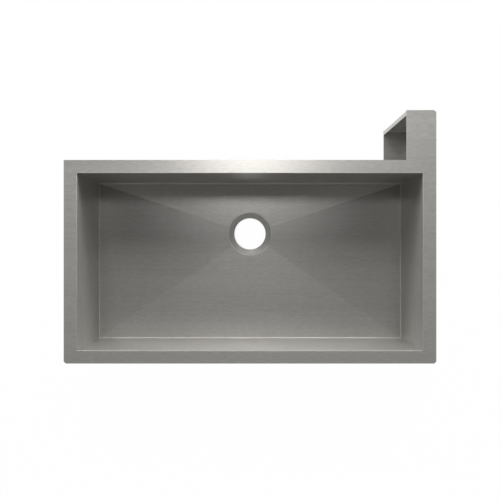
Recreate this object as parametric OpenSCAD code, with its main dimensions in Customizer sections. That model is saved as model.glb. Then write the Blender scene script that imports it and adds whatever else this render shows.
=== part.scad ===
// Undermount kitchen sink, folded and welded from stainless sheet.
// The origin is the middle of the drain hole, on the face that the strainer seats on.
// +X is to the right, +Y to the rear and +Z up.

/* [Bowl] */
// Inside width of the bowl, left wall to right wall
bowl_w = 840; // [760:1:860]
// Inside depth of the bowl, front wall to rear wall
bowl_d = 431; // [380:1:480]
// Height from the floor, where it meets the walls, to the top of the rim
bowl_h = 254; // [200:1:300]
// Fall of the floor from the walls to the middle of the drain
floor_fall = 3.5; // [2:0.5:12]

/* [Rim] */
// Width of the rim outside the left and right walls
rim_side = 32.5; // [20:0.5:50]
// Width of the rim in front of the bowl
rim_front = 31.5; // [20:0.5:60]
// Width of the rim behind the bowl
rim_rear = 32; // [20:0.5:60]
// Length of each side of the cut across an outer corner
corner_cut = 5; // [2:0.5:12]
// Radius that the edge between the walls and the rim is ground to
edge_r = 0.6; // [0.2:0.05:0.75]

/* [Rear arm and pocket] */
// Width of the arm, measured along the rear of the rim
arm_w = 72.5; // [50:1:120]
// Reach of the arm behind the rear edge of the rim
arm_l = 121; // [60:1:200]
// Height from the floor of the pocket to the top of the rim
pocket_h = 296; // [220:1:340]
// Width of the lip folded along the free edge of the pocket's rear panel
lip_w = 12.5; // [8:0.5:30]
// Inside radius of the fold between that lip and the panel
lip_bend_r = 1.5; // [0.5:0.25:4]
// Clearance between the rear wall and the pocket's front panel
pocket_gap = 3; // [1:0.5:8]

/* [Drain] */
// Diameter of the drain hole
drain_d = 87; // [80:0.5:95]
// Distance from the rear wall to the middle of the drain
drain_back = 141; // [110:1:180]
// Diameter of the recess that the strainer's flange lies in
seat_d = 118; // [110:1:126]
// Width of the flat ring around the drain hole
seat_flat = 1.5; // [1:0.25:4]
// Depth of the flat ring below the point where the creases would meet
seat_depth = 6.5; // [6:0.5:9]
// Angle of the cone between the flat ring and the round edge of the recess
seat_slope = 12; // [8:1:18]
// Inside radius of that round edge
seat_bend_r = 3; // [2:0.25:4]

/* [Sheet] */
// Thickness of the steel sheet
sheet_t = 1.5; // [0.8:0.1:2]
// Inside radius of the folds at the floor and in the pocket
bend_r = 1.5; // [1:0.25:4]

/* [Sound pads] */
// Thickness of the rubber pads
pad_t = 3; // [1.5:0.5:5]
// Height of the pads on the walls
wall_pad_h = 150; // [80:1:160]
// Distance from the top of the rim to the top of those pads
wall_pad_drop = 34; // [20:1:40]
// Distance from a corner of the bowl to the end of a wall's pad
wall_pad_end = 70; // [30:1:120]
// Distance kept between a floor pad and a wall or a crease
floor_pad_gap = 18; // [8:1:25]
// Distance from the middle of the drain to the pads beside it
side_pad_start = 200; // [150:1:240]
// Distance from the middle of the drain to the pad in front of it
front_pad_start = 120; // [90:1:150]
// Distance from the edge of the drain's recess to the pad behind it
rear_pad_start = 12; // [6:1:14]
// Radius of the pads' corners
pad_corner_r = 8; // [4:1:12]

/* [Hidden] */
$fn = 64;

// Levels
fold_r = bend_r + sheet_t;
floor_z = seat_depth + floor_fall;
rim_z = floor_z + bowl_h;
pocket_z = rim_z - pocket_h;

// Inside faces of the four walls, measured outwards from the drain
side_in = bowl_w / 2;
rear_in = drain_back;
front_in = bowl_d - drain_back;

// Upright part of each wall, from its fold to the rim plate
wall_z = floor_z + bend_r;
wall_h = rim_z - sheet_t - wall_z;

// Edges of the floor sheet, where the folds of the walls end
floor_x = side_in - bend_r;
floor_rear = rear_in - bend_r;
floor_front = front_in - bend_r;

// Outer edges of the rim and of its arm
rim_x = side_in + rim_side;
rim_y0 = -front_in - rim_front;
rim_y1 = rear_in + rim_rear;
arm_x = rim_x - arm_w;
arm_y = rim_y1 + arm_l;

// The pocket hangs below the arm
pocket_front_y = rear_in + sheet_t + pocket_gap;
pocket_end_x = rim_x - corner_cut;
lip_fold_r = lip_bend_r + sheet_t;

// The recess around the drain
seat_r = seat_d / 2;
seat_out_r = seat_r + sheet_t;
seat_flat_r = drain_d / 2 + seat_flat;
seat_round_r = seat_r - seat_bend_r;
seat_round_z = (seat_round_r - seat_flat_r) * tan(seat_slope) + seat_bend_r / cos(seat_slope);

// Longer than anything in the part, for cutting with whole planes
reach = 2 * (bowl_w + bowl_d);
// How far a cutting shape runs past the face that it cuts
past = 1;

// Sheet bent through a quarter turn about the origin, in one quadrant
module bend_2d(r, x_side, y_side) {
  intersection() {
    difference() {
      circle(r = r + sheet_t);
      circle(r = r);
    }
    translate([x_side < 0 ? -r - sheet_t - past : 0, y_side < 0 ? -r - sheet_t - past : 0])
      square(r + sheet_t + past);
  }
}

// Rectangle with round corners, from one corner to the opposite one
module rounded_2d(low, high, r) {
  size = high - low;
  translate(low + [r, 0]) square([size[0] - 2 * r, size[1]]);
  translate(low + [0, r]) square([size[0], size[1] - 2 * r]);
  for (x = [low[0] + r, high[0] - r], y = [low[1] + r, high[1] - r])
    translate([x, y]) circle(r = r);
}

// Section of a wall: folded inwards at the floor, with its top edge ground round
module wall_2d() {
  translate([-bend_r, wall_z]) bend_2d(bend_r, 1, -1);
  translate([0, wall_z]) square([sheet_t, rim_z - edge_r - wall_z]);
  translate([edge_r, wall_z]) square([sheet_t - edge_r, rim_z - wall_z]);
  translate([edge_r, rim_z - edge_r])
    intersection() {
      circle(r = edge_r);
      translate([-edge_r, 0]) square([2 * edge_r, edge_r]);
    }
}

// A wall that looks along -Y, with its inside face at y = inside and its corners
// at x = x0 and x = x1. Its fold and its top edge are mitred. Between them it stops
// at the inner corner, so that a weld can fill the outer one.
module wall(inside, x0, x1) {
  m = 2 * fold_r;
  difference() {
    intersection() {
      translate([x0 - m, inside, 0])
        rotate([90, 0, 90])
          linear_extrude(x1 - x0 + 2 * m) wall_2d();
      linear_extrude(rim_z + past)
        polygon([
          [x0 + m, inside - m], [x1 - m, inside - m],
          [x1 + m, inside + m], [x0 - m, inside + m]
        ]);
    }
    translate([x1, inside - past, wall_z]) cube([m, m, wall_h]);
    translate([x0 - m, inside - past, wall_z]) cube([m, m, wall_h]);
  }
}

// Weld that fills the outer corner of two walls, level with their outer faces
module corner_weld(x_side, y_side) {
  intersection() {
    cylinder(r = sheet_t, h = wall_h);
    translate([x_side < 0 ? -sheet_t : 0, y_side < 0 ? -sheet_t : 0, 0])
      cube([sheet_t, sheet_t, wall_h]);
  }
}

// Everything above one sloping facet of the floor, lowered by drop
module above_facet(edge, turn, drop) {
  rotate([0, 0, turn])
    translate([0, edge, floor_z - drop])
      rotate([atan(floor_fall / edge), 0, 0])
        translate([-reach, -2 * reach, 0])
          cube([2 * reach, 3 * reach, reach]);
}

// The space above the creased floor, lowered by drop. It is as wide as the floor,
// or wider by grow on every side.
module above_floor(drop, grow) {
  intersection() {
    translate([-floor_x - grow, -floor_front - grow, -floor_z])
      cube([2 * (floor_x + grow), floor_front + floor_rear + 2 * grow, rim_z + grow]);
    above_facet(floor_rear, 0, drop);
    above_facet(floor_x, 90, drop);
    above_facet(floor_front, 180, drop);
    above_facet(floor_x, 270, drop);
  }
}

// A layer that follows the creased floor, between two drops below its top face
module floor_layer(top_drop, bottom_drop) {
  difference() {
    above_floor(bottom_drop, 0);
    above_floor(top_drop, past);
  }
}

// Rubber pad under the floor, over a rectangle between two corners
module floor_pad(low, high) {
  color("#2b2b2c")
    intersection() {
      floor_layer(sheet_t, sheet_t + pad_t);
      translate([0, 0, -reach / 2])
        linear_extrude(reach) rounded_2d(low, high, pad_corner_r);
    }
}

// Rubber pad on the outside of a wall that looks along -Y
module wall_pad(inside, x0, x1) {
  top = rim_z - wall_pad_drop;
  color("#2b2b2c")
    translate([0, inside + sheet_t + pad_t, 0])
      rotate([90, 0, 0])
        linear_extrude(pad_t)
          rounded_2d([x0 + wall_pad_end, top - wall_pad_h], [x1 - wall_pad_end, top], pad_corner_r);
}

// Outline of the rim with its arm, outer corners cut except where the arm starts
module rim_outline_2d() {
  c = corner_cut;
  polygon([
    [-rim_x + c, rim_y0], [rim_x - c, rim_y0], [rim_x, rim_y0 + c],
    [rim_x, arm_y - c], [rim_x - c, arm_y], [arm_x, arm_y],
    [arm_x, rim_y1], [-rim_x, rim_y1], [-rim_x, rim_y0 + c]
  ]);
}

// Flat rim, let down around the tops of the walls
module rim_plate() {
  color("#a5a39f")
    translate([0, 0, rim_z - sheet_t])
      linear_extrude(sheet_t)
        difference() {
          rim_outline_2d();
          translate([-side_in - sheet_t, -front_in - sheet_t])
            square([bowl_w + 2 * sheet_t, bowl_d + 2 * sheet_t]);
        }
}

module rear_wall() {
  color("#8f8d89") wall(rear_in, -side_in, side_in);
}

module left_wall() {
  color("#8f8d89") rotate([0, 0, 90]) wall(side_in, -front_in, rear_in);
}

module front_wall() {
  color("#8f8d89") rotate([0, 0, 180]) wall(front_in, -side_in, side_in);
}

module right_wall() {
  color("#8f8d89") rotate([0, 0, 270]) wall(side_in, -rear_in, front_in);
}

// Floor sheet, creased from its corners towards the drain
module bowl_floor() {
  color("#8a8884")
    difference() {
      floor_layer(0, sheet_t);
      translate([0, 0, -reach / 2]) cylinder(r = seat_out_r, h = reach);
    }
}

// Section of the recess around the drain, grown outwards: a flat bottom, a cone and a
// round edge that turns the cone into an upright wall
module recess_2d(grow) {
  r = seat_bend_r + grow;
  top = 2 * floor_z - grow;
  translate([seat_round_r, seat_round_z]) circle(r = r);
  polygon([
    [0, -grow],
    [seat_flat_r + grow * tan(seat_slope / 2), -grow],
    [seat_round_r + r * sin(seat_slope), seat_round_z - r * cos(seat_slope)],
    [seat_round_r, seat_round_z],
    [seat_round_r + r, seat_round_z],
    [seat_round_r + r, top],
    [0, top]
  ]);
}

// Section of the pressed ring, from the drain hole to the edge of the recess
module seat_2d() {
  difference() {
    recess_2d(sheet_t);
    recess_2d(0);
    translate([0, -sheet_t - past]) square([drain_d / 2, sheet_t + 2 * past]);
  }
}

// Pressed ring around the drain, its upper edge level with the creased floor
module drain_seat() {
  color("#8a8884")
    difference() {
      rotate_extrude() seat_2d();
      above_floor(0, 0);
    }
}

module corner_welds() {
  color("#b8b4ab")
    translate([0, 0, wall_z]) {
      translate([side_in, rear_in, 0]) corner_weld(1, 1);
      translate([-side_in, rear_in, 0]) corner_weld(-1, 1);
      translate([side_in, -front_in, 0]) corner_weld(1, -1);
      translate([-side_in, -front_in, 0]) corner_weld(-1, -1);
    }
}

// Section of the pocket's wrap: rear panel, floor and front panel, seen along X
module pocket_wrap_2d() {
  panel_z = pocket_z + bend_r;
  panel_h = rim_z - sheet_t - panel_z;
  translate([arm_y - sheet_t, panel_z]) square([sheet_t, panel_h]);
  translate([pocket_front_y, panel_z]) square([sheet_t, panel_h]);
  translate([pocket_front_y + fold_r, pocket_z - sheet_t])
    square([arm_y - pocket_front_y - 2 * fold_r, sheet_t]);
  translate([arm_y - fold_r, panel_z]) bend_2d(bend_r, 1, -1);
  translate([pocket_front_y + fold_r, panel_z]) bend_2d(bend_r, -1, -1);
}

// Plan of the lip on the free edge of the rear panel, with the fold that carries it
module pocket_lip_2d() {
  translate([arm_x, arm_y - lip_w]) square([sheet_t, lip_w - lip_fold_r]);
  translate([arm_x + lip_fold_r, arm_y - lip_fold_r]) bend_2d(lip_bend_r, -1, 1);
}

// One sheet that makes the rear, the floor and the front of the pocket
module pocket_wrap() {
  lip_z = pocket_z + bend_r;
  lip_h = rim_z - sheet_t - lip_z;
  color("#8f8d89") {
    difference() {
      translate([arm_x, 0, 0])
        rotate([90, 0, 90])
          linear_extrude(pocket_end_x - sheet_t - arm_x) pocket_wrap_2d();
      translate([arm_x - past, arm_y - lip_fold_r, lip_z])
        cube([lip_fold_r + past, lip_fold_r + past, lip_h + past]);
    }
    translate([0, 0, lip_z]) linear_extrude(lip_h) pocket_lip_2d();
  }
}

// Plate welded to the right end of the wrap
module pocket_end() {
  low = [pocket_front_y, pocket_z - sheet_t];
  high = [arm_y, rim_z - sheet_t];
  color("#8f8d89")
    translate([pocket_end_x - sheet_t, 0, 0])
      rotate([90, 0, 90])
        linear_extrude(sheet_t) {
          rounded_2d(low, high, fold_r);
          translate([low[0], high[1] - fold_r]) square([high[0] - low[0], fold_r]);
        }
}

module front_pad() {
  rotate([0, 0, 180]) wall_pad(front_in, -side_in, side_in);
}

// Stops short of the pocket's front panel
module rear_pad() {
  wall_pad(rear_in, -side_in, arm_x);
}

module left_pad() {
  rotate([0, 0, 90]) wall_pad(side_in, -front_in, rear_in);
}

module right_pad() {
  rotate([0, 0, 270]) wall_pad(side_in, -rear_in, front_in);
}

// Half widths of the facets beside, in front of and behind the drain, where their pads start
side_pad_rear = floor_rear * side_pad_start / floor_x - floor_pad_gap;
side_pad_front = floor_front * side_pad_start / floor_x - floor_pad_gap;
front_pad_x = floor_x * front_pad_start / floor_front - floor_pad_gap;
rear_pad_y = seat_out_r + rear_pad_start;
rear_pad_x = floor_x * rear_pad_y / floor_rear - floor_pad_gap;

module floor_pad_left() {
  floor_pad([floor_pad_gap - floor_x, -side_pad_front], [-side_pad_start, side_pad_rear]);
}

module floor_pad_right() {
  floor_pad([side_pad_start, -side_pad_front], [floor_x - floor_pad_gap, side_pad_rear]);
}

module floor_pad_front() {
  floor_pad([-front_pad_x, floor_pad_gap - floor_front], [front_pad_x, -front_pad_start]);
}

module floor_pad_rear() {
  floor_pad([-rear_pad_x, rear_pad_y], [rear_pad_x, floor_rear - floor_pad_gap]);
}

rim_plate();
front_wall();
rear_wall();
left_wall();
right_wall();
bowl_floor();
drain_seat();
corner_welds();
pocket_wrap();
pocket_end();
front_pad();
rear_pad();
left_pad();
right_pad();
floor_pad_left();
floor_pad_right();
floor_pad_front();
floor_pad_rear();
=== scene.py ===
# %% [markdown]
# # A folded and welded kitchen sink
# This lesson dresses a stainless steel undermount sink. Its shape is finished before
# the lesson starts: the sheets, folds, welds and pads come in as meshes that already
# lie where they belong. What is left is what the eye reads as steel: the brushed
# grain, the weld beads, the soft rubber underneath and the light of a photo studio.
# The frame has its origin in the middle of the drain hole, +X to the right, +Y to the
# rear and +Z up, in metres.

import math

import bpy
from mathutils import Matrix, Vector


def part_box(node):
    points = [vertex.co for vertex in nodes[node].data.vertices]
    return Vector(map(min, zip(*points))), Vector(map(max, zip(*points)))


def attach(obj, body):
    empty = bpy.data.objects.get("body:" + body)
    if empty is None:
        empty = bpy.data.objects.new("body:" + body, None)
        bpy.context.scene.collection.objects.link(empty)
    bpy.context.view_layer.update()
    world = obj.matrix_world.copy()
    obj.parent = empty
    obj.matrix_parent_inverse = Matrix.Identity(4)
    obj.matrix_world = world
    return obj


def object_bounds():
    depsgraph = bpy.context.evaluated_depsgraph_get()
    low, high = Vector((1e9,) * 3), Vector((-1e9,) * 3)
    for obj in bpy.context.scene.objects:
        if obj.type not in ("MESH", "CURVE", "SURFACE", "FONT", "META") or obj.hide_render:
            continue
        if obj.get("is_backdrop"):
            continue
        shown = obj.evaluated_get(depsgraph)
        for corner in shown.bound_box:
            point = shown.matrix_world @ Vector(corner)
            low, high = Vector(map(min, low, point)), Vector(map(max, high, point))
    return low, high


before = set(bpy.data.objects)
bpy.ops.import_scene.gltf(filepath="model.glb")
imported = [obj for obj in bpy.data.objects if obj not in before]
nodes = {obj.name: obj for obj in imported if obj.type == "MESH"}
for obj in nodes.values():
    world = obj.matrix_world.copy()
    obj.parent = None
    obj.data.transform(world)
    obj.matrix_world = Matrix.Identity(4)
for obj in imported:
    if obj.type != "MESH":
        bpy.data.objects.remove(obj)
cad_low, cad_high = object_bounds()
print("nodes:", sorted(nodes))
print("box in mm:", [round(1000 * v) for v in cad_high - cad_low])

# %% [markdown]
# ## Where the sheets are
# Everything that is added has to sit on the sheets, so its place is taken from them
# and not typed in twice. The boxes of the four walls give the inside of the bowl, once
# the thickness of the sheet is known. Measuring beats copying numbers: if the bowl is
# made wider, what is added follows it.

# %% Measure the bowl from its own pieces
MM = 0.001
SHEET = 1.5 * MM
FOLD_IN = 1.5 * MM  # inside radius of a fold

left_out, right_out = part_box("left_wall")[0].x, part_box("right_wall")[1].x
side_in = right_out - SHEET
rear_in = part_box("rear_wall")[1].y - SHEET
front_in = -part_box("front_wall")[0].y - SHEET
# The flat floor starts where the folds end.
x_edge, rear_edge, front_edge = side_in - FOLD_IN, rear_in - FOLD_IN, front_in - FOLD_IN
rim_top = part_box("rim_plate")[1].z
floor_edge_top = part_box("bowl_floor")[1].z
seat_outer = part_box("drain_seat")[1].x
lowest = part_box("pocket_wrap")[0].z
bowl_size = right_out - left_out - 2 * SHEET, rear_in + front_in
print("inside of the bowl in mm:", [round(1000 * v, 1) for v in bowl_size])
print("rim, floor edge and lowest point in mm:",
      [round(1000 * z, 1) for z in (rim_top, floor_edge_top, lowest)])

# %% [markdown]
# ## Helpers
# Colours are easiest to read as the hex values of a paint program, which are sRGB,
# while a shader works with linear light, so one function translates. Materials are
# graphs of nodes, and another function adds a node, sets its values and links its
# inputs. A node that is given as an input stands for its first output, which keeps each
# recipe short enough to read. The last two do what every recipe begins and ends with.

# %% Colour, node and material helpers
def linear(hex_colour):
    """An sRGB hex colour as linear red, green, blue and alpha."""
    channels = [int(hex_colour[i:i + 2], 16) / 255 for i in (1, 3, 5)]
    return (*(c / 12.92 if c <= 0.04045 else ((c + 0.055) / 1.055) ** 2.4 for c in channels), 1.0)


def first_output(value):
    """A node stands for its first output; anything else stays what it is."""
    return value.outputs[0] if isinstance(value, bpy.types.Node) else value


def add_node(tree, kind, settings=None, **inputs):
    """Adds a node. Inputs go by name, with _ for a space, or by place as i0, i1 and so on."""
    node = tree.nodes.new(kind)
    for key, value in (settings or {}).items():
        setattr(node, key, value)
    for key, value in inputs.items():
        by_place = key[0] == "i" and key[1:].isdigit()
        socket = node.inputs[int(key[1:]) if by_place else key.replace("_", " ")]
        value = first_output(value)
        if isinstance(value, bpy.types.NodeSocket):
            tree.links.new(value, socket)
        else:
            socket.default_value = value
    return node


def new_material(name):
    """A material with its tree, its shader and the place of each point on the object."""
    material = bpy.data.materials.new(name)
    material.use_nodes = True
    tree = material.node_tree
    place = add_node(tree, "ShaderNodeTexCoord").outputs["Object"]
    print("material:", name)
    return material, tree, tree.nodes["Principled BSDF"], place


def connect(tree, shader, **inputs):
    """Links each node or output to the shader's socket of that name."""
    for name, value in inputs.items():
        tree.links.new(first_output(value), shader.inputs[name.replace("_", " ")])


print("mid steel grey in linear light:", [round(c, 3) for c in linear("#a8a6a2")])

# %% [markdown]
# ## Brushed stainless steel
# The sheet is 304 stainless steel, 1.5 mm thick, satin brushed in the mill with a belt
# that runs along the sheet. The belt leaves fine parallel scratches a few tenths of a
# millimetre wide and some centimetres long. They spread a reflection across the grain
# and hardly along it, so a lamp above turns into a streak.
#
# It could be modelled with a bump map alone, but a scratch is far narrower than a
# pixel here, and the picture would only get noisy. So the spread itself comes from the
# shader's anisotropy, and the pattern adds only what is left to see: streaks in colour
# and roughness, and a shallow bump that shows in a close view. The direction of the
# spread is the cross product of the surface's own direction and the grain, which
# follows the sheet around every fold.
#
# The flanks of the scratches also throw part of the light far to the side, so deep in
# the bowl the steel doesn't turn black as a smooth metal would. That part is the share
# that Metallic leaves below 1. Its metallic and roughness start from typical values for
# satin steel and are then matched to the object. The rim is ground flush with the welds
# and brushed once more, which leaves it lighter than the bowl.

# %% Brushed steel recipe
LEFT_TO_RIGHT, FRONT_TO_REAR = (1.0, 0.0, 0.0), (0.0, 1.0, 0.0)
STEEL_LIGHT, STEEL_DARK = linear("#d0ceca"), linear("#b6b4b0")
STEEL_METALLIC, STEEL_ANISOTROPIC = 0.65, 0.3
STEEL_ROUGHNESS, ROUGHNESS_SPREAD = 0.31, 0.03
# Real scratches are about 0.2 mm wide. They are drawn 1.6 mm wide, so that the streaks
# just show where one pixel covers 2.4 mm.
STREAK_WIDTH, STREAK_LENGTH = 1.6 * MM, 18 * MM
BAND_WIDTH, BAND_LENGTH = 9 * MM, 600 * MM
BAND_SHARE = 0.2  # of the pattern; the rest is streaks
NOISE_RANGE = {"From_Min": 0.3, "From_Max": 0.7}  # nearly all of a noise lies in here
SCRATCH_DEPTH = 0.02 * MM
# A product of two parallel directions is nothing, and the edge of a sheet would turn
# black where the grain runs straight into it. So the grain leans aside by this share.
LEAN = 0.01


def brushed_steel(name, grain, light=STEEL_LIGHT, dark=STEEL_DARK,
                  roughness=STEEL_ROUGHNESS, toned=None):
    """Satin steel whose scratches run along grain; toned may change its colour by place."""
    material, tree, shader, place = new_material(name)

    def along_grain(width, length, **noise):
        scale = [1 / (length * g + width * (1 - g)) for g in grain]
        at = add_node(tree, "ShaderNodeMapping", Vector=place, Scale=scale)
        return add_node(tree, "ShaderNodeTexNoise", Vector=at, Scale=1.0, **noise)

    streaks = along_grain(STREAK_WIDTH, STREAK_LENGTH, Detail=3.0, Roughness=0.6)
    bands = along_grain(BAND_WIDTH, BAND_LENGTH, Detail=2.0)
    both = add_node(tree, "ShaderNodeMix", {"data_type": "FLOAT"},
                    Factor=BAND_SHARE, i2=streaks, i3=bands)
    tint = add_node(tree, "ShaderNodeMapRange", Value=both, **NOISE_RANGE)
    colour = add_node(tree, "ShaderNodeMix", {"data_type": "RGBA"}, i0=tint, i6=dark, i7=light)
    shade = toned(tree, place, colour.outputs[2]) if toned else colour.outputs[2]
    rough = add_node(tree, "ShaderNodeMapRange", Value=both, **NOISE_RANGE,
                     To_Min=roughness - ROUGHNESS_SPREAD, To_Max=roughness + ROUGHNESS_SPREAD)
    relief = add_node(tree, "ShaderNodeBump", Height=streaks,
                      Strength=0.12, Distance=SCRATCH_DEPTH)
    surface = add_node(tree, "ShaderNodeNewGeometry")
    leaning = (grain[0] + LEAN * grain[1], grain[1] + LEAN * grain[0], 0.0)
    across = add_node(tree, "ShaderNodeVectorMath", {"operation": "CROSS_PRODUCT"},
                      i0=surface.outputs["Normal"], i1=leaning)
    shader.inputs["Metallic"].default_value = STEEL_METALLIC
    shader.inputs["Anisotropic"].default_value = STEEL_ANISOTROPIC
    connect(tree, shader, Base_Color=shade, Roughness=rough, Normal=relief, Tangent=across)
    return material


rim_steel = brushed_steel("brushed_stainless_steel_rim", LEFT_TO_RIGHT,
                          linear("#e4e1dc"), linear("#cac7c2"))

# %% [markdown]
# ## Painted highlights on folds and ground edges
# The inside of a fold catches the light as a narrow bright line, and so does the top of
# a wall, where it ends at the rim in a weld that is ground flush with the plate. Both
# lines are painted highlights: the colour of the sheet is made lighter there. Each line
# lies between two heights, and no other part of the same sheet does, so the colour can be
# made lighter by height alone. A mask painted by hand would do as well, but it would need
# a UV map.
#
# The welds inside the bowl are blended by hand, and that roughens the walls: a lamp
# spreads wider on them than on the floor. The rim, the floor and the long walls are cut
# with the grain running from left to right. A side wall is cut along its own length, so
# that its grain runs from front to rear once it stands in place. The pocket is one
# wrapped sheet with the grain across, and its end plate is cut like a side wall.

# %% Painted highlight lines and the steel of the walls
# Painted highlights: how much lighter the fold lines and the ground edges are drawn.
PAINTED_HIGHLIGHT, PAINTED_EDGE_HIGHLIGHT = 1.5, 1.25  # times the colour of the sheet
EDGE_HIGHLIGHT_REACH = 0.7 * MM
ABOVE_FLOOR = 0.02 * MM  # leaves the flat floor out of the line of its fold
WALL_ROUGHNESS = 0.4


def paint_highlight_bands(*bands):
    """Paints highlights as a lighter colour between two heights; each band is (low, high, factor).
    """
    def toned(tree, place, colour):
        at = add_node(tree, "ShaderNodeSeparateXYZ", Vector=place)
        for low, high, factor in bands:
            inside = add_node(tree, "ShaderNodeMath", {"operation": "COMPARE"},
                              i0=at.outputs["Z"], i1=(low + high) / 2, i2=(high - low) / 2)
            tone = add_node(tree, "ShaderNodeMath", {"operation": "MULTIPLY_ADD"},
                            i0=inside, i1=factor - 1, i2=1.0)
            colour = add_node(tree, "ShaderNodeVectorMath", {"operation": "SCALE"},
                              i0=colour, Scale=tone)
        return colour
    return toned


def fold_highlight_band(floor_height):
    """Band of painted highlight on the inside of a fold, without the flat floor that it runs into.
    """
    return floor_height + ABOVE_FLOOR, floor_height + FOLD_IN, PAINTED_HIGHLIGHT


# Painted highlights: lighter lines along the top edge of each wall, where it meets the rim, and on
# the inside of the folds of the walls and of the pocket.
rim_edge_highlight_band = rim_top - EDGE_HIGHLIGHT_REACH, rim_top + EDGE_HIGHLIGHT_REACH, PAINTED_EDGE_HIGHLIGHT
wall_highlights = paint_highlight_bands(fold_highlight_band(floor_edge_top), rim_edge_highlight_band)
pocket_fold_highlight = paint_highlight_bands(fold_highlight_band(lowest + SHEET))
long_wall_steel = brushed_steel("brushed_stainless_steel_long_walls", LEFT_TO_RIGHT,
                                roughness=WALL_ROUGHNESS, toned=wall_highlights)
side_wall_steel = brushed_steel("brushed_stainless_steel_side_walls", FRONT_TO_REAR,
                                roughness=WALL_ROUGHNESS, toned=wall_highlights)
# The pocket is hard to reach once it is welded, so it isn't brushed again and stays duller.
dull = {"light": linear("#c2c1bd"), "dark": linear("#a9a8a4")}
pocket_steel = brushed_steel("brushed_stainless_steel_pocket", LEFT_TO_RIGHT,
                             toned=pocket_fold_highlight, **dull)
pocket_end_steel = brushed_steel("brushed_stainless_steel_pocket_end", FRONT_TO_REAR, **dull)

# %% [markdown]
# ## Creased floor
# The floor is one sheet with four creases. Its four facets are drawn in slightly
# different tones, painted shade on the two side facets and a painted highlight on the
# rear one, and they are what makes the creases show at all: the facets lean by only half
# a degree to a degree and a half. The tone could be a colour on the faces, but the
# floor's mesh is finished, so it is worked out from the same rule as its shape. The facet
# that a point lies on is the one on which that point is nearest to its edge, as a share
# of the way from the drain. The seam between the floor and the folds of the walls is
# ground flush too, and a narrow painted highlight runs along the edge of the floor.

# %% Painted facet light and shade
CREASE_HALF = 0.003  # half the width of the soft change, as a share of the way to the edge
# Painted shade on the two side facets and a painted highlight on the rear one.
SIDE_FACET_PAINTED_SHADE, REAR_FACET_PAINTED_HIGHLIGHT = 0.93, 1.32  # times the tone of the front facet
# Width of the painted highlight along the edge of the floor.
FLOOR_EDGE_HIGHLIGHT_WIDTH = 1.5 * MM


def paint_facet_light_and_shade(tree, place, colour):
    """Paints shade on the two side facets, a highlight on the rear one and a highlight line on the
    edge of the floor.
    """
    at = add_node(tree, "ShaderNodeSeparateXYZ", Vector=place)
    aside = add_node(tree, "ShaderNodeMath", {"operation": "ABSOLUTE"}, i0=at.outputs["X"])
    side, rear, front = (
        add_node(tree, "ShaderNodeMath", {"operation": "MULTIPLY"}, i0=distance, i1=1 / edge)
        for distance, edge in ((aside, x_edge), (at.outputs["Y"], rear_edge),
                               (at.outputs["Y"], -front_edge)))
    for share, others, tone in ((side, (rear, front), SIDE_FACET_PAINTED_SHADE), (rear, (side, front), REAR_FACET_PAINTED_HIGHLIGHT)):
        rival = add_node(tree, "ShaderNodeMath", {"operation": "MAXIMUM"},
                         i0=others[0], i1=others[1])
        lead = add_node(tree, "ShaderNodeMath", {"operation": "SUBTRACT"}, i0=share, i1=rival)
        factor = add_node(tree, "ShaderNodeMapRange", Value=lead, From_Min=-CREASE_HALF,
                          From_Max=CREASE_HALF, To_Min=1.0, To_Max=tone)
        colour = add_node(tree, "ShaderNodeVectorMath", {"operation": "SCALE"},
                          i0=colour, Scale=factor)
    # Painted highlight: a narrow lighter line along the edge of the floor.
    for share, edge in ((side, x_edge), (rear, rear_edge), (front, front_edge)):
        seam = add_node(tree, "ShaderNodeMath", {"operation": "GREATER_THAN"},
                        i0=share, i1=1 - FLOOR_EDGE_HIGHLIGHT_WIDTH / edge)
        factor = add_node(tree, "ShaderNodeMath", {"operation": "MULTIPLY_ADD"},
                          i0=seam, i1=PAINTED_EDGE_HIGHLIGHT - 1, i2=1.0)
        colour = add_node(tree, "ShaderNodeVectorMath", {"operation": "SCALE"},
                          i0=colour, Scale=factor)
    return colour


floor_steel = brushed_steel("brushed_stainless_steel_creased_floor", LEFT_TO_RIGHT,
                            linear("#cdcbc7"), linear("#b3b1ad"), toned=paint_facet_light_and_shade)

# %% [markdown]
# ## Pressed drain seat
# The seat is pressed between two dies, which flatten the scratches and leave faint rings
# round the hole. So it has no grain that runs straight, it spreads the light the same
# way in every direction, and it looks more even and more matt than the floor around it.
# What it throws aside is again the share that Metallic leaves below 1, and that share is
# larger here. Its round outer edge is drawn lighter, a painted highlight like the ones on
# the folds.
#
# The rings are a noise that changes only with the distance from the middle of the hole,
# which is the origin of the frame. Real marks are some 0.3 mm apart; they are drawn
# 1.2 mm apart so that they show in a close view.

# %% Pressed steel recipe
RING_PITCH, PATCH_SIZE = 1.2 * MM, 12 * MM
SEAT_RANGE = {"From_Min": 0.35, "From_Max": 0.65}
SEAT_METALLIC = 0.25
# Painted highlight on the outer edge of the seat, between these radii.
SEAT_HIGHLIGHT_STARTS, SEAT_HIGHLIGHT_FULL = seat_outer - 2.4 * MM, seat_outer - 1.6 * MM


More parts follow.
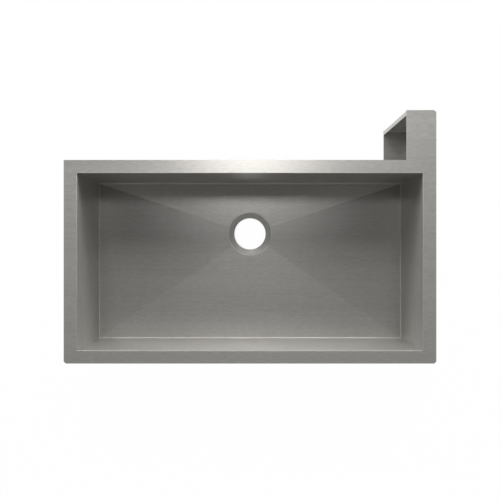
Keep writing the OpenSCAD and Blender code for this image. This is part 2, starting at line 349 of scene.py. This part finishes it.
def pressed_steel(name):
    """Steel with faint rings round the origin and a painted highlight on its outer edge."""
    material, tree, shader, place = new_material(name)
    flat = add_node(tree, "ShaderNodeVectorMath", {"operation": "MULTIPLY"},
                    i0=place, i1=(1.0, 1.0, 0.0))
    radius = add_node(tree, "ShaderNodeVectorMath", {"operation": "LENGTH"}, i0=flat)
    rings = add_node(tree, "ShaderNodeTexNoise", {"noise_dimensions": "1D"},
                     W=radius.outputs["Value"], Scale=1 / RING_PITCH, Detail=2.0)
    patches = add_node(tree, "ShaderNodeTexNoise", Vector=place, Scale=1 / PATCH_SIZE, Detail=3.0)
    both = add_node(tree, "ShaderNodeMix", {"data_type": "FLOAT"},
                    Factor=0.5, i2=rings, i3=patches)
    tint = add_node(tree, "ShaderNodeMapRange", Value=both, **SEAT_RANGE)
    colour = add_node(tree, "ShaderNodeMix", {"data_type": "RGBA"},
                      i0=tint, i6=linear("#dedcd8"), i7=linear("#e8e6e2"))
    # Painted highlight: the outer edge of the seat is drawn lighter.
    edge = add_node(tree, "ShaderNodeMapRange", Value=radius.outputs["Value"],
                    From_Min=SEAT_HIGHLIGHT_STARTS, From_Max=SEAT_HIGHLIGHT_FULL, To_Min=1.0, To_Max=PAINTED_HIGHLIGHT)
    shade = add_node(tree, "ShaderNodeVectorMath", {"operation": "SCALE"},
                     i0=colour.outputs[2], Scale=edge)
    rough = add_node(tree, "ShaderNodeMapRange", Value=both, **SEAT_RANGE,
                     To_Min=0.4, To_Max=0.46)
    relief = add_node(tree, "ShaderNodeBump", Height=rings, Strength=0.1, Distance=SCRATCH_DEPTH)
    shader.inputs["Metallic"].default_value = SEAT_METALLIC
    connect(tree, shader, Base_Color=shade, Roughness=rough, Normal=relief)
    return material


seat_steel = pressed_steel("pressed_stainless_steel_drain_seat")

# %% [markdown]
# ## Weld metal
# The pieces are joined by TIG welding. The pool of molten steel freezes in steps, so a
# bead is a row of overlapping ripples. It is smoother and a little brighter than the
# brushed sheet, with a straw tint where it stayed hot longest. The ripples are made as
# geometry below, so the material only needs the tint and a little unevenness.

# %% Weld material
TINT_SIZE = 14 * MM
TINTS = (0.35, linear("#b9b6b1")), (0.7, linear("#b7a586"))  # where in the noise, and colour


def weld_metal(name):
    """Bare weld metal with patches of a straw tint."""
    material, tree, shader, place = new_material(name)
    patches = add_node(tree, "ShaderNodeTexNoise", Vector=place, Scale=1 / TINT_SIZE, Detail=2.0)
    tint = add_node(tree, "ShaderNodeValToRGB", Fac=patches)
    for stop, (position, colour) in zip(tint.color_ramp.elements, TINTS):
        stop.position, stop.color = position, colour
    rough = add_node(tree, "ShaderNodeMapRange", Value=patches, **NOISE_RANGE,
                     To_Min=0.24, To_Max=0.36)
    shader.inputs["Metallic"].default_value = 1.0
    connect(tree, shader, Base_Color=tint, Roughness=rough)
    return material


weld_steel = weld_metal("tig_weld_stainless_steel")

# %% [markdown]
# ## Moulded rubber
# The pads that deaden the steel are 3 mm rubber, moulded flat and glued on. Rubber is
# a dark dielectric: little colour, a broad dull gloss and a fine pebbled skin from the
# mould. A noise of about 1 mm gives the pebbles, and a second one of some centimetres
# gives the cloudy bloom that such pads get in storage.

# %% Rubber recipe
PEBBLE_SIZE, PEBBLE_DEPTH, BLOOM_SIZE = 1.2 * MM, 0.3 * MM, 45 * MM
BLOOM_RANGE = {"From_Min": 0.35, "From_Max": 0.7}
RUBBER_IOR = 1.52


def moulded_rubber(name):
    """Dark rubber with a pebbled skin and a cloudy bloom."""
    material, tree, shader, place = new_material(name)
    pebbles = add_node(tree, "ShaderNodeTexVoronoi", Vector=place, Scale=1 / PEBBLE_SIZE)
    bloom = add_node(tree, "ShaderNodeTexNoise", Vector=place, Scale=1 / BLOOM_SIZE, Detail=4.0)
    cloud = add_node(tree, "ShaderNodeMapRange", Value=bloom, **BLOOM_RANGE)
    colour = add_node(tree, "ShaderNodeMix", {"data_type": "RGBA"},
                      i0=cloud, i6=linear("#262627"), i7=linear("#343435"))
    rough = add_node(tree, "ShaderNodeMapRange", Value=bloom, **BLOOM_RANGE,
                     To_Min=0.62, To_Max=0.78)
    relief = add_node(tree, "ShaderNodeBump", Height=pebbles.outputs["Distance"],
                      Strength=0.35, Distance=PEBBLE_DEPTH)
    shader.inputs["IOR"].default_value = RUBBER_IOR
    connect(tree, shader, Base_Color=colour.outputs[2], Roughness=rough, Normal=relief)
    return material


pad_rubber = moulded_rubber("moulded_black_rubber")

# %% [markdown]
# ## Dress the sheets
# The shapes that came in finished take their materials in their own material slots.

# %% Give every finished shape its material
finishes = {
    rim_steel: ["rim_plate"],
    floor_steel: ["bowl_floor"],
    seat_steel: ["drain_seat"],
    long_wall_steel: ["front_wall", "rear_wall"],
    side_wall_steel: ["left_wall", "right_wall"],
    pocket_steel: ["pocket_wrap"],
    pocket_end_steel: ["pocket_end"],
    weld_steel: ["corner_welds"],
    pad_rubber: ["front_pad", "rear_pad", "left_pad", "right_pad",
                 "floor_pad_left", "floor_pad_right", "floor_pad_front", "floor_pad_rear"],
}
for material, names in finishes.items():
    for name in names:
        nodes[name].data.materials.clear()
        nodes[name].data.materials.append(material)
    print(material.name, "on", len(names), "nodes")

# %% [markdown]
# ## Weld beads
# A bead follows a seam and repeats one ripple over and over, which is the kind of thing
# Geometry Nodes do well: a path goes in, and a tube whose thickness swells and shrinks
# along it comes out. Modelling the ripples by hand would give thousands of faces to
# move, and an array would not turn the corners.
#
# The paths come first. The upright corner seams start in the mitred folds, the rim seam
# runs round the walls under the rim plate and the floor seam where the folds end, and
# one seam circles the drain seat. Every bead lies outside the bowl or inside the pocket,
# because the seams that show are ground flush.

# %% Seam paths round the bowl
FOLD_OUT = FOLD_IN + SHEET
FLOOR_FALL = 3.5 * MM
# The middle of a bead lies below the surface of the sheets at a corner and under the
# floor, and stands off from it where two sheets meet inwards.
CORNER_SUNK, FLOOR_SUNK, STAND_OFF = 0.4 * MM, 0.2 * MM, 0.3 * MM
SEAT_STEPS = 120
under_rim = rim_top - SHEET - STAND_OFF


def fold_arc(centre, start, stop, steps=8):
    """Quarter turn from start to stop about centre, as it looks in a mitred fold."""
    a, b = start - centre, stop - centre
    turns = [math.pi / 2 * i / steps for i in range(steps + 1)]
    return [centre + a * math.cos(t) + b * math.sin(t) for t in turns]


def corner_path(x_side, y_side, y_in):
    """From the floor, round the fold and up the corner to the underside of the rim."""
    def at(out, z):
        return Vector((x_side * (side_in + out), y_side * (y_in + out), z))
    face = SHEET - CORNER_SUNK
    low, turn = floor_edge_top + FOLD_IN, FOLD_OUT - CORNER_SUNK
    fold = fold_arc(at(-FOLD_IN, low), at(-FOLD_IN, low - turn), at(face, low))
    return fold + [at(face, under_rim)]


def ring_path(x_out, rear_out, front_out, z):
    """Rectangle round the bowl at one height."""
    corners = ((x_out, rear_out), (-x_out, rear_out), (-x_out, -front_out), (x_out, -front_out))
    return [Vector((x, y, z)) for x, y in corners]


def floor_top(x, y):
    """Height of the creased floor over a point, from the four facets."""
    share = max(abs(x) / x_edge, y / rear_edge, -y / front_edge)
    return floor_edge_top - FLOOR_FALL * (1 - share)


def seat_point(turn):
    """Point of the seam round the drain seat, under the floor."""
    x, y = (seat_outer + STAND_OFF) * math.cos(turn), (seat_outer + STAND_OFF) * math.sin(turn)
    return Vector((x, y, floor_top(x, y) - SHEET + FLOOR_SUNK))


outside = SHEET + STAND_OFF
seams = [(corner_path(x_side, y_side, y_in), False)
         for x_side in (-1, 1) for y_side, y_in in ((1, rear_in), (-1, front_in))]
seams += [
    (ring_path(side_in + outside, rear_in + outside, front_in + outside, under_rim), True),
    (ring_path(x_edge, rear_edge, front_edge, floor_edge_top - SHEET + FLOOR_SUNK), True),
    ([seat_point(2 * math.pi * i / SEAT_STEPS) for i in range(SEAT_STEPS)], True),
]
print("seams round the bowl:", len(seams))

# %% [markdown]
# Two more seams close the pocket. One follows the end plate down the rear of the wrapped
# sheet, through its two folds and up its front. The other joins both sheets to the
# underside of the rim plate, and it stops short of the lip at the open end.

# %% Seam paths in the pocket
LIP_CLEAR = 16 * MM

pocket_low, pocket_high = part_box("pocket_wrap")
end_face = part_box("pocket_end")[0].x - STAND_OFF
open_end = pocket_low.x + LIP_CLEAR
front_face, rear_face = pocket_low.y + outside, pocket_high.y - outside
pocket_floor = lowest + outside
fold_z = pocket_floor + FOLD_IN


def on_end(y, z):
    """Point on the inner face of the end plate."""
    return Vector((end_face, y, z))


rear_fold = fold_arc(on_end(rear_face - FOLD_IN, fold_z), on_end(rear_face, fold_z),
                     on_end(rear_face - FOLD_IN, pocket_floor))
front_fold = fold_arc(on_end(front_face + FOLD_IN, fold_z),
                      on_end(front_face + FOLD_IN, pocket_floor), on_end(front_face, fold_z))
rear_top, front_top = on_end(rear_face, under_rim), on_end(front_face, under_rim)
seams += [
    ([rear_top, *rear_fold, *front_fold, front_top], False),
    ([Vector((open_end, rear_face, under_rim)), rear_top,
      front_top, Vector((open_end, front_face, under_rim))], False),
]
print("the end plate's seam runs down to", round(1000 * pocket_floor, 1), "mm")

# %% [markdown]
# Geometry Nodes work on one object, so all the paths go into a single mesh of points and
# edges, without a face.

# %% One mesh for all the paths
def path_mesh(name, paths):
    """Mesh of edges along the paths; each path is (points, closed)."""
    points, edges = [], []
    for path, closed in paths:
        first = len(points)
        points += [tuple(p) for p in path]
        edges += [(first + i, first + i + 1) for i in range(len(path) - 1)]
        if closed:
            edges.append((len(points) - 1, first))
    mesh = bpy.data.meshes.new(name)
    mesh.from_pydata(points, edges, [])
    return mesh


seam_object = bpy.data.objects.new("seam_paths", path_mesh("seam_paths", seams))
bpy.context.scene.collection.objects.link(seam_object)
print("seams:", len(seams), "with", len(seam_object.data.vertices), "points")

# %% [markdown]
# The tree resamples each path to three points a ripple. A sine of the length along the
# path, measured in ripples, swells the tube, and a slow seeded noise keeps the beads
# from looking machine made. The real ripples are about 1.2 mm apart. They are made
# 2.4 mm apart, which keeps the mesh small and still reads as a weld.

# %% Geometry Nodes tree for a rippled bead
POINTS_PER_RIPPLE = 3.0
TUBE_SIDES = 6
DRIFT_SCALE = 60.0  # waves in a metre, so a bead's thickness drifts over some 17 mm
BEAD_SIZES = {"Bead Radius": 1.1 * MM, "Ripple Pitch": 2.4 * MM,
              "Ripple Depth": 0.16, "Unevenness": 0.25}
BEAD_SEED = 4


def bead_tree():
    """Paths go in as Seams, and rippled tubes come out as Beads."""
    tree = bpy.data.node_groups.new("rippled_weld_bead", "GeometryNodeTree")

    def socket(name, kind, in_out="INPUT"):
        return tree.interface.new_socket(name, in_out=in_out, socket_type="NodeSocket" + kind)

    socket("Seams", "Geometry")
    for name, value in BEAD_SIZES.items():
        socket(name, "Float").default_value = value
    socket("Seed", "Int").default_value = BEAD_SEED
    socket("Metal", "Material")
    socket("Beads", "Geometry", "OUTPUT")

    given = add_node(tree, "NodeGroupInput").outputs
    pitch = given["Ripple Pitch"]
    step = add_node(tree, "ShaderNodeMath", {"operation": "DIVIDE"},
                    i0=pitch, i1=POINTS_PER_RIPPLE)
    line = add_node(tree, "GeometryNodeMeshToCurve", Mesh=given["Seams"])
    fine = add_node(tree, "GeometryNodeResampleCurve", {"mode": "LENGTH"}, Curve=line, Length=step)
    along = add_node(tree, "GeometryNodeSplineParameter").outputs["Length"]
    ripples = add_node(tree, "ShaderNodeMath", {"operation": "DIVIDE"}, i0=along, i1=pitch)
    angle = add_node(tree, "ShaderNodeMath", {"operation": "MULTIPLY"}, i0=ripples, i1=2 * math.pi)
    wave = add_node(tree, "ShaderNodeMath", {"operation": "SINE"}, i0=angle)
    swell = add_node(tree, "ShaderNodeMath", {"operation": "MULTIPLY_ADD"},
                     i0=wave, i1=given["Ripple Depth"], i2=1.0)
    slow = add_node(tree, "ShaderNodeTexNoise", {"noise_dimensions": "4D"},
                    W=given["Seed"], Scale=DRIFT_SCALE, Detail=1.0)
    drift = add_node(tree, "ShaderNodeMath", {"operation": "SUBTRACT"}, i0=slow, i1=0.5)
    uneven = add_node(tree, "ShaderNodeMath", {"operation": "MULTIPLY_ADD"},
                      i0=drift, i1=given["Unevenness"], i2=swell)
    sized = add_node(tree, "GeometryNodeSetCurveRadius", Curve=fine, Radius=uneven)
    ring = add_node(tree, "GeometryNodeCurvePrimitiveCircle",
                    Resolution=TUBE_SIDES, Radius=given["Bead Radius"])
    tube = add_node(tree, "GeometryNodeCurveToMesh",
                    Curve=sized, Profile_Curve=ring, Fill_Caps=True)
    smooth = add_node(tree, "GeometryNodeSetShadeSmooth", Geometry=tube)
    real = add_node(tree, "GeometryNodeRealizeInstances", Geometry=smooth)
    dressed = add_node(tree, "GeometryNodeSetMaterial", Geometry=real, Material=given["Metal"])
    add_node(tree, "NodeGroupOutput", Beads=dressed)
    return tree


rippled_bead = bead_tree()
print("tree:", rippled_bead.name, "with", len(rippled_bead.nodes), "nodes")

# %% [markdown]
# A modifier keeps its inputs under the identifiers of their sockets, so the names are
# looked up first. What it makes is then copied into an ordinary mesh, so that the beads
# are plain meshes like the sheets and no live modifier has to be carried along.

# %% Beads as an ordinary mesh
def plain_piece(carrier, name, tree, values):
    """Runs a tree on the carrier and returns what it made as an ordinary object."""
    modifier = carrier.modifiers.new(tree.name, "NODES")
    modifier.node_group = tree
    sockets = {s.name: s.identifier for s in tree.interface.items_tree if s.in_out == "INPUT"}
    for key, value in values.items():
        modifier[sockets[key]] = value
    seen = carrier.evaluated_get(bpy.context.evaluated_depsgraph_get())
    mesh = bpy.data.meshes.new_from_object(seen)
    mesh.name = name
    carrier.modifiers.remove(modifier)
    bpy.data.objects.remove(carrier)
    piece = bpy.data.objects.new(name, mesh)
    bpy.context.scene.collection.objects.link(piece)
    print(name, "has", sum(len(p.vertices) - 2 for p in mesh.polygons), "triangles")
    return piece


weld_beads = plain_piece(seam_object, "weld_beads", rippled_bead,
                         {**BEAD_SIZES, "Seed": BEAD_SEED, "Metal": weld_steel})
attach(weld_beads, "root")

# %% [markdown]
# ## Camera
# The photograph looks straight down: the upright corners of the bowl all point at one
# spot, which is right below the lens. That spot is nearly two pixels under the middle of
# the picture, so the frame is shifted up by that much instead of tilting the camera,
# which would make the walls converge the wrong way. The share by which the floor looks
# smaller than the rim gives the distance.

# %% Camera straight above the bowl
FRAME_PIXELS = 500
FOCAL_PIXELS = 710.4
SHIFT_PIXELS = 1.85
SENSOR_MM = 36.0
CAMERA_Y = -0.0502
CAMERA_OVER_RIM = 1.725

camera_data = bpy.data.cameras.new("camera")
camera_data.sensor_width = SENSOR_MM
camera_data.lens = SENSOR_MM * FOCAL_PIXELS / FRAME_PIXELS
camera_data.shift_y = SHIFT_PIXELS / FRAME_PIXELS
camera = bpy.data.objects.new("camera", camera_data)
camera.location = (0, CAMERA_Y, rim_top + CAMERA_OVER_RIM)
bpy.context.scene.collection.objects.link(camera)
bpy.context.scene.camera = camera
print("lens in mm:", round(camera_data.lens, 2), "height in m:", round(camera.location.z, 3))

# %% [markdown]
# ## Floor
# The sink lies on a plain white studio floor. Lighting a floor until it is pure white
# would burn out the steel as well, so its whiteness is mostly its own: to the camera
# and to mirror rays it shines at strength 1, mixed with a little of a painted surface
# that still takes the sink's shadow. From below it is clear, so that the underside of
# the sink can be looked at.

# %% Studio floor
SHINE_SHARE = 0.99
FLOOR_HALF = 6.0
FLOOR_GAP = 0.5 * MM


def studio_white(name, shine_share):
    """White paint that shines by shine_share to camera, glossy and transmission rays."""
    material = bpy.data.materials.new(name)
    material.use_nodes = True
    tree = material.node_tree
    tree.nodes.remove(tree.nodes["Principled BSDF"])
    rays = add_node(tree, "ShaderNodeLightPath").outputs
    seen = add_node(tree, "ShaderNodeMath", {"operation": "ADD"},
                    i0=rays["Is Camera Ray"], i1=rays["Is Glossy Ray"])
    seen = add_node(tree, "ShaderNodeMath", {"operation": "ADD", "use_clamp": True},
                    i0=seen, i1=rays["Is Transmission Ray"])
    blend = add_node(tree, "ShaderNodeMath", {"operation": "MULTIPLY"}, i0=seen, i1=shine_share)
    paint = add_node(tree, "ShaderNodeBsdfDiffuse", Color=linear("#f6f6f5"))
    shine = add_node(tree, "ShaderNodeEmission", Color=linear("#ffffff"), Strength=1.0)
    mixed = add_node(tree, "ShaderNodeMixShader", i0=blend, i1=paint, i2=shine)
    below = add_node(tree, "ShaderNodeNewGeometry").outputs["Backfacing"]
    clear = add_node(tree, "ShaderNodeBsdfTransparent")
    one_way = add_node(tree, "ShaderNodeMixShader", i0=below, i1=mixed, i2=clear)
    connect(tree, tree.nodes["Material Output"], Surface=one_way)
    return material


floor_z = lowest - FLOOR_GAP
floor_corners = [(x * FLOOR_HALF, y * FLOOR_HALF, floor_z)
                 for x, y in ((-1, -1), (1, -1), (1, 1), (-1, 1))]
floor_mesh = bpy.data.meshes.new("studio_floor")
floor_mesh.from_pydata(floor_corners, [], [(0, 1, 2, 3)])
floor_mesh.materials.append(studio_white("white_studio_floor", SHINE_SHARE))
floor = bpy.data.objects.new("studio_floor", floor_mesh)
bpy.context.scene.collection.objects.link(floor)
floor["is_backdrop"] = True
print("floor at", round(1000 * floor_z, 1), "mm")

# %% [markdown]
# ## Lamps
# Steel shows what is around it more than any colour of its own, so the lamps are placed
# by what the steel shows. A bright streak behind the drain and on the middle of the rear
# rim is a softbox almost straight overhead, a little to the rear. The front wall is far
# brighter than the rear one, so most of the light comes from a wide panel high behind the
# sink. All walls grow darker towards the floor, which only light from low down does,
# because the rim shades what is deep: that is what the four lower panels are for, two
# behind the sink and two at its rear corners.

# %% Lamps
AIM = Vector((0.0, -0.05, 0.15))  # the middle of the bowl
SIDE_PANEL = (1.2, 0.45)
PANEL_DISTANCE = 3.0


def softbox(name, azimuth, elevation, distance, size, power):
    """Lamp of size (width, height) in metres. Azimuth 0 is the rear and 90 the right."""
    turn, lift = math.radians(azimuth), math.radians(elevation)
    away = Vector((math.sin(turn) * math.cos(lift), math.cos(turn) * math.cos(lift),
                   math.sin(lift)))
    data = bpy.data.lights.new(name, "AREA")
    data.shape = "RECTANGLE"
    data.size, data.size_y = size
    data.energy = power
    lamp = bpy.data.objects.new(name, data)
    lamp.location = AIM + distance * away
    lamp.rotation_euler = (-away).to_track_quat("-Z", "Y").to_euler()
    bpy.context.scene.collection.objects.link(lamp)
    print("lamp:", name, "at", [round(v, 2) for v in lamp.location])


softbox("overhead_softbox", 0, 75, 2.3, (0.5, 0.25), 3.3)
softbox("high_rear_panel", 0, 49, PANEL_DISTANCE, (2.2, 0.8), 41)
for side, name in ((-1, "left"), (1, "right")):
    softbox("rear_" + name + "_panel", 25 * side, 20, PANEL_DISTANCE, SIDE_PANEL, 14)
    softbox("low_" + name + "_panel", 65 * side, 12, PANEL_DISTANCE, SIDE_PANEL, 37.6)

# %% [markdown]
# ## Room
# A dim room fills the rest. The camera sees it as white, like the floor. Together with
# the lamps it lights a white card that faces up to about 0.8 of white, and one that
# faces the rear to about 1, so that a colour comes out about as it is written.

# %% Dim room
ROOM_STRENGTH = 0.14

world = bpy.data.worlds.new("studio_room")
world.use_nodes = True
bpy.context.scene.world = world
tree = world.node_tree
rays = add_node(tree, "ShaderNodeLightPath").outputs
room = tree.nodes["Background"]
room.inputs["Color"].default_value = linear("#e8e8e8")  # 0.81 in linear light
room.inputs["Strength"].default_value = ROOM_STRENGTH
white = add_node(tree, "ShaderNodeBackground", Color=linear("#ffffff"), Strength=1.0)
mixed = add_node(tree, "ShaderNodeMixShader", i0=rays["Is Camera Ray"], i1=room, i2=white)
connect(tree, tree.nodes["World Output"], Surface=mixed)
bpy.context.scene.view_settings.view_transform = "Standard"
print("room at strength", ROOM_STRENGTH)

# %% [markdown]
# ## Measure and finish
# Nothing that was added should make the sink bigger than its sheets, so the script
# prints by how much its box grew on each side.

# %% Write the sizes and finish
dressed_low, dressed_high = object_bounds()
grown = (*(cad_low - dressed_low), *(dressed_high - cad_high))
print("grown by mm:", [round(1000 * v, 3) for v in grown])
